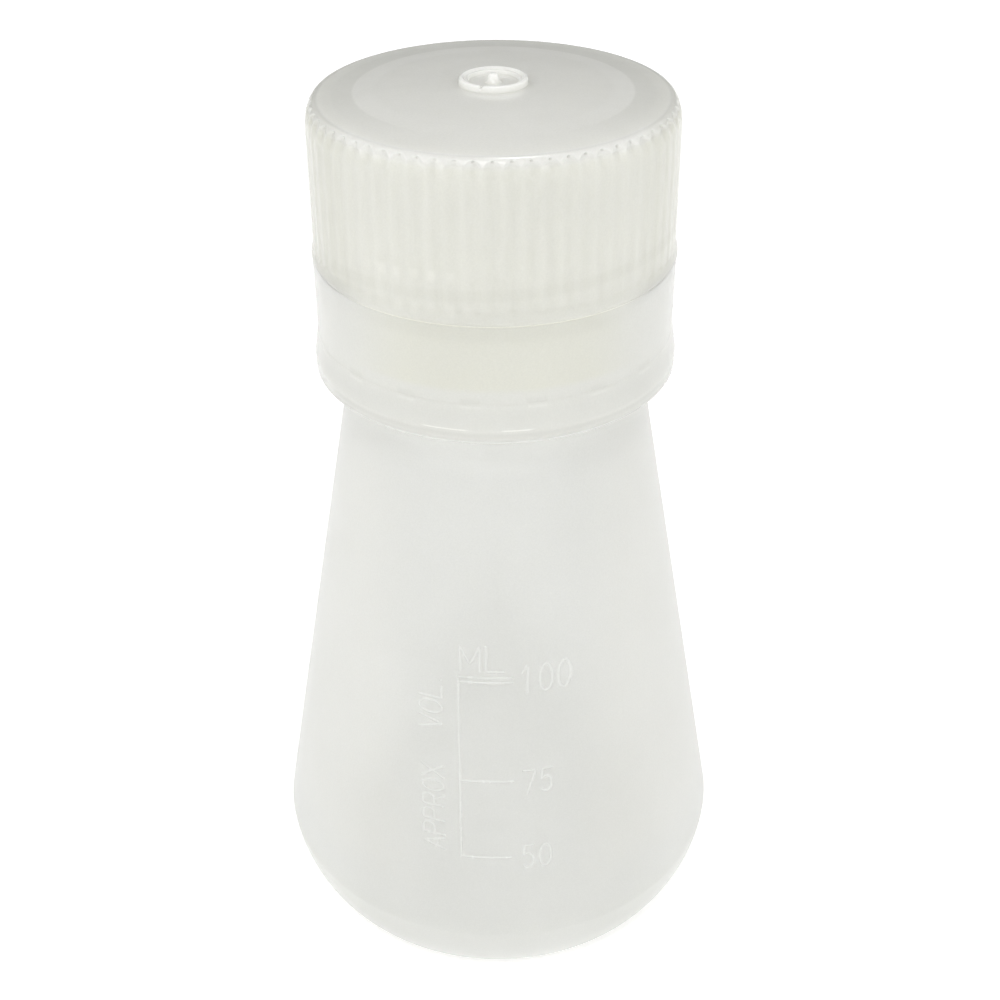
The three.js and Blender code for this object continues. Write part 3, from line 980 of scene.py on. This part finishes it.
# ---------------------------------------------------------------- materials
GLOW = 0.06  # painted glow for the light that has wandered far inside the wall
DEPTH = 0.004  # m, how far light spreads inside the wall
SEE_THROUGH = 0.0  # share of light let straight through, face on
TRANSLUCENT = 0.0  # share passed to the far side where light does not spread inside


def milky_colour(coord, tint):
    """The tint, made uneven by wall and flow, with fine speckles."""
    cloud = noise(coord, 55, 3, 0.55)
    flow = noise(coord, 90, 2, 0.5, stretch=(1.0, 1.0, 0.25))
    clouding = (cloud * 0.6 + flow * 0.4).times_add(1.8, -0.4, clamp=True)
    dark = tuple(c * 0.955 for c in tint)
    light = tuple(min(1.0, c * 1.02) for c in tint)
    colour = mix(clouding, dark, light)
    speckle = noise(coord, 5200, 2, 0.6).times_add(0.12, 0.94)
    inputs = {0: colour, "Scale": speckle}
    return field(coord.tree, "ShaderNodeVectorMath", inputs, operation="SCALE")


def polypropylene(name, tint, roughness, grain_scale, tone, depth=None, lift=None):
    """Natural polypropylene: milky with a satin skin.

    With a depth, light spreads inside the wall. tone paints shade and light into the colour by
    place and lift adds painted glow by place.
    """
    mat = bpy.data.materials.new(name)
    tree = empty_tree(mat)
    coord = field(tree, "ShaderNodeTexCoord", output="Object")
    place = add_node(tree, "ShaderNodeSeparateXYZ", {0: coord})
    colour = tone(place, coord, milky_colour(coord, tint))
    # surface: satin grain, soft waviness and a few fine scuffs
    grain = noise(coord, grain_scale, 2, 0.6)
    wave = noise(coord, 160, 2, 0.5)
    scuff = noise(coord, 900, 3, 0.7, stretch=(1.0, 1.0, 0.08))
    height = grain * 0.25 + wave * 3.0 + scuff * 0.03
    bump = field(
        tree, "ShaderNodeBump", {"Strength": 0.35, "Distance": 0.00006, "Height": height}
    )
    plastic = add_node(
        tree,
        "ShaderNodeBsdfPrincipled",
        {
            "Base Color": colour,
            "Roughness": scuff.times_add(0.04, roughness - 0.03),
            "IOR": 1.49,
            "Specular IOR Level": 0.5,
            "Normal": bump,
            "Emission Color": colour,
            "Emission Strength": GLOW,
        },
    )
    if lift is not None:
        glow = lift(place) + GLOW
        tree.links.new(glow.socket, plastic.inputs["Emission Strength"])
    wall = plastic.outputs[0]
    if depth is not None:
        plastic.inputs["Subsurface Weight"].default_value = 1.0
        plastic.inputs["Subsurface Radius"].default_value = (1.0, 1.0, 0.95)
        plastic.inputs["Subsurface Scale"].default_value = depth
    else:
        inputs = {"Color": colour, "Normal": bump}
        far_side = field(tree, "ShaderNodeBsdfTranslucent", inputs)
        wall = field(tree, "ShaderNodeMixShader", {0: TRANSLUCENT, 1: wall, 2: far_side})
    # any see-through closes up at grazing angles, where the path in the wall is long
    facing = field(tree, "ShaderNodeLayerWeight", {"Blend": 0.5}, output="Facing")
    face_on = 1.0 - facing**1.5
    clear = field(tree, "ShaderNodeBsdfTransparent", {"Color": (0.985, 0.985, 0.97, 1)})
    inputs = {0: face_on * SEE_THROUGH, 1: wall, 2: clear}
    surface = field(tree, "ShaderNodeMixShader", inputs)
    add_node(tree, "ShaderNodeOutputMaterial", {"Surface": surface})
    return mat


def foam(name, tint):
    """Matt foam with fine cells."""
    mat = bpy.data.materials.new(name)
    mat.use_nodes = True
    tree = mat.node_tree
    skin = tree.nodes["Principled BSDF"]
    coord = field(tree, "ShaderNodeTexCoord", output="Object")
    inputs = {"Scale": 3200, "Vector": coord}
    cells = field(tree, "ShaderNodeTexVoronoi", inputs, output="Distance")
    clouding = cells * 0.5 + noise(coord, 180, 3, 0.6) * 0.5
    colour = mix(clouding, tuple(c * 0.93 for c in tint), tint)
    bump = field(
        tree, "ShaderNodeBump", {"Strength": 0.5, "Distance": 0.00008, "Height": cells}
    )
    tree.links.new(colour.socket, skin.inputs["Base Color"])
    tree.links.new(bump.socket, skin.inputs["Normal"])
    skin.inputs["Roughness"].default_value = 0.75
    return mat


# ---------------------------------------------------------------- the pieces
flask = build_flask()
scale = build_scale()
cap = build_cap()
ring = build_ring()
seal = build_seal()

flask_plastic = polypropylene(
    "natural_pp_flask", tint=(0.615, 0.62, 0.59), roughness=0.36, grain_scale=2600,
    tone=body_tone, depth=DEPTH, lift=tuck_lift,
)
scale_plastic = polypropylene(
    "natural_pp_scale", tint=(0.615, 0.62, 0.595), roughness=0.28, grain_scale=2600,
    tone=body_tone,
)
cap_plastic = polypropylene(
    "natural_pp_cap", tint=(0.6, 0.6, 0.55), roughness=0.25, grain_scale=3400,
    tone=cap_tone, depth=DEPTH, lift=joint_lift,
)
ring_plastic = polypropylene(
    "natural_pp_ring", tint=(0.6, 0.602, 0.565), roughness=0.25, grain_scale=3200,
    tone=ring_tone, depth=DEPTH, lift=ring_lift,
)
seal_foam = foam("seal_pe", tint=(0.84, 0.845, 0.83))

# object, material, moving body, the CAD piece it replaces, material slot
for ob, mat, body, cad, slot in (
    (flask, flask_plastic, "flask", "flask_body", "body_pp"),
    (scale, scale_plastic, "flask", None, "body_pp"),
    (cap, cap_plastic, "cap", "screw_cap", "cap_pp"),
    (ring, ring_plastic, "ring", "neck_ring", "ring_pp"),
    (seal, seal_foam, "seal", "seal_disc", "seal_pe"),
):
    ob.data.materials.append(mat)
    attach(ob, body)
    if cad:
        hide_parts(cad)
# the raised strokes are part of the wall, so they don't shade it
scale.visible_shadow = False
scale.visible_diffuse = False


# ---------------------------------------------------------------- stage
def floor_material():
    """Pale and faintly glowing. It is clear from below, and to the camera far off."""
    mat = bpy.data.materials.new("pale_floor")
    tree = empty_tree(mat)
    matt = field(tree, "ShaderNodeBsdfDiffuse", {"Color": (0.9, 0.9, 0.9, 1)})
    glow = field(tree, "ShaderNodeEmission", {"Color": (1, 1, 1, 1), "Strength": 0.3})
    pale = field(tree, "ShaderNodeAddShader", {0: matt, 1: glow})
    clear = field(tree, "ShaderNodeBsdfTransparent")
    geometry = add_node(tree, "ShaderNodeNewGeometry")
    # far off, a grey horizon would show, so the camera sees the white backdrop instead
    inputs = {0: geometry.outputs["Position"]}
    distance = field(
        tree, "ShaderNodeVectorMath", inputs, output="Value", operation="LENGTH"
    )
    camera_ray = field(tree, "ShaderNodeLightPath", output="Is Camera Ray")
    far_off = distance.rise(0.2, 0.4) * camera_ray
    see_through = far_off.math("MAXIMUM", geometry.outputs["Backfacing"])
    surface = field(tree, "ShaderNodeMixShader", {0: see_through, 1: pale, 2: clear})
    add_node(tree, "ShaderNodeOutputMaterial", {"Surface": surface})
    return mat


def build_stage():
    mesh = bpy.data.meshes.new("floor")
    half = 3.0
    corners = [(-half, -half, 0), (half, -half, 0), (half, half, 0), (-half, half, 0)]
    mesh.from_pydata(corners, [], [(0, 1, 2, 3)])
    floor = linked("floor", mesh)
    mesh.materials.append(floor_material())


def build_world():
    """A soft white room with a plain white backdrop."""
    world = bpy.data.worlds.new("studio")
    bpy.context.scene.world = world
    tree = empty_tree(world)
    coord = field(tree, "ShaderNodeTexCoord", output="Generated")
    direction = add_node(tree, "ShaderNodeSeparateXYZ", {0: coord})
    y, z = (Field(tree, direction.outputs[axis]) for axis in "YZ")
    # dimmer overhead than at the horizon
    inputs = {"Value": z, "From Min": 0.0, "From Max": 1.0, "To Min": 0.95, "To Max": 0.62}
    room = field(tree, "ShaderNodeMapRange", inputs)
    # dim behind the object at low elevations, so surfaces seen at a glance stay grey
    behind = y.rise(0.1, 0.7, far=3) * (1.0 - z.rise(0.3, 0.75, far=3))
    level = room * behind.times_add(-0.9, 1.0)
    camera_ray = field(tree, "ShaderNodeLightPath", output="Is Camera Ray")
    level = level + camera_ray * (1.15 - level)
    inputs = {"Color": (1, 1, 1, 1), "Strength": level}
    background = field(tree, "ShaderNodeBackground", inputs)
    add_node(tree, "ShaderNodeOutputWorld", {"Surface": background})


def area_light(name, place, target, size, power):
    """A rectangular light aimed at a point; metres and watts."""
    light = bpy.data.lights.new(name, "AREA")
    light.shape = "RECTANGLE"
    light.size, light.size_y = size
    light.energy = power
    ob = linked(name, light)
    ob.location = place
    aim = Vector(target) - Vector(place)
    ob.rotation_euler = aim.to_track_quat("-Z", "Y").to_euler()
    return ob


def build_lights():
    area_light(
        "left_soft", place=(-0.5, -0.3, 0.4), target=(0, 0, 0.06), size=(0.35, 0.35), power=0.9
    )
    area_light(
        "right_soft", place=(0.5, -0.3, 0.4), target=(0, 0, 0.06), size=(0.35, 0.35), power=0.8
    )
    area_light(
        "front_strip", place=(-0.03, -0.32, 0.55), target=(0, 0, 0.1), size=(0.22, 0.12),
        power=0.8,
    )
    # only for the far side: nothing mirrors it
    fill = area_light(
        "back_fill", place=(0.1, 0.6, 0.12), target=(0, 0, 0.05), size=(0.4, 0.3), power=0.9
    )
    fill.visible_glossy = False
    # aimed at the cap's top, and left out of diffuse light
    glint = area_light(
        "glint", place=(0.05, 0.16, 0.62), target=(0.003, -0.019, 0.1125),
        size=(0.014, 0.02), power=0.9,
    )
    glint.visible_diffuse = False


# Where the lens stands, in metres, and how it is turned, in radians
CAMERA_DISTANCE = 0.15675
CAMERA_HEIGHT = 0.16427
CAMERA_PITCH = 0.5901  # downwards
CAMERA_YAW = 0.00288  # to the right
CAMERA_ROLL = 0.00583


def build_camera():
    data = bpy.data.cameras.new("camera")
    data.sensor_fit = "HORIZONTAL"
    data.sensor_width = 36
    data.lens = 52.73784
    data.clip_start = 0.005
    data.clip_end = 20
    camera = linked("camera", data)
    forward = Vector(
        (
            math.sin(CAMERA_YAW) * math.cos(CAMERA_PITCH),
            math.cos(CAMERA_YAW) * math.cos(CAMERA_PITCH),
            -math.sin(CAMERA_PITCH),
        )
    )
    level_right = Vector((math.cos(CAMERA_YAW), -math.sin(CAMERA_YAW), 0))
    level_up = level_right.cross(forward)
    right = math.cos(CAMERA_ROLL) * level_right - math.sin(CAMERA_ROLL) * level_up
    up = math.sin(CAMERA_ROLL) * level_right + math.cos(CAMERA_ROLL) * level_up
    pose = Matrix.Identity(4)
    for i in range(3):
        pose[i][0], pose[i][1], pose[i][2] = right[i], up[i], -forward[i]
    pose[1][3] = -CAMERA_DISTANCE
    pose[2][3] = CAMERA_HEIGHT
    camera.matrix_world = pose
    bpy.context.scene.camera = camera


def set_render():
    scene = bpy.context.scene
    scene.view_settings.view_transform = "Standard"
    scene.view_settings.look = "None"
    scene.view_settings.exposure = 0
    scene.view_settings.gamma = 1
    scene.cycles.use_denoising = True
    scene.cycles.max_bounces = 14
    scene.cycles.diffuse_bounces = 8
    scene.cycles.transparent_max_bounces = 16
    scene.cycles.sample_clamp_indirect = 4


build_stage()
build_world()
build_lights()
build_camera()
set_render()
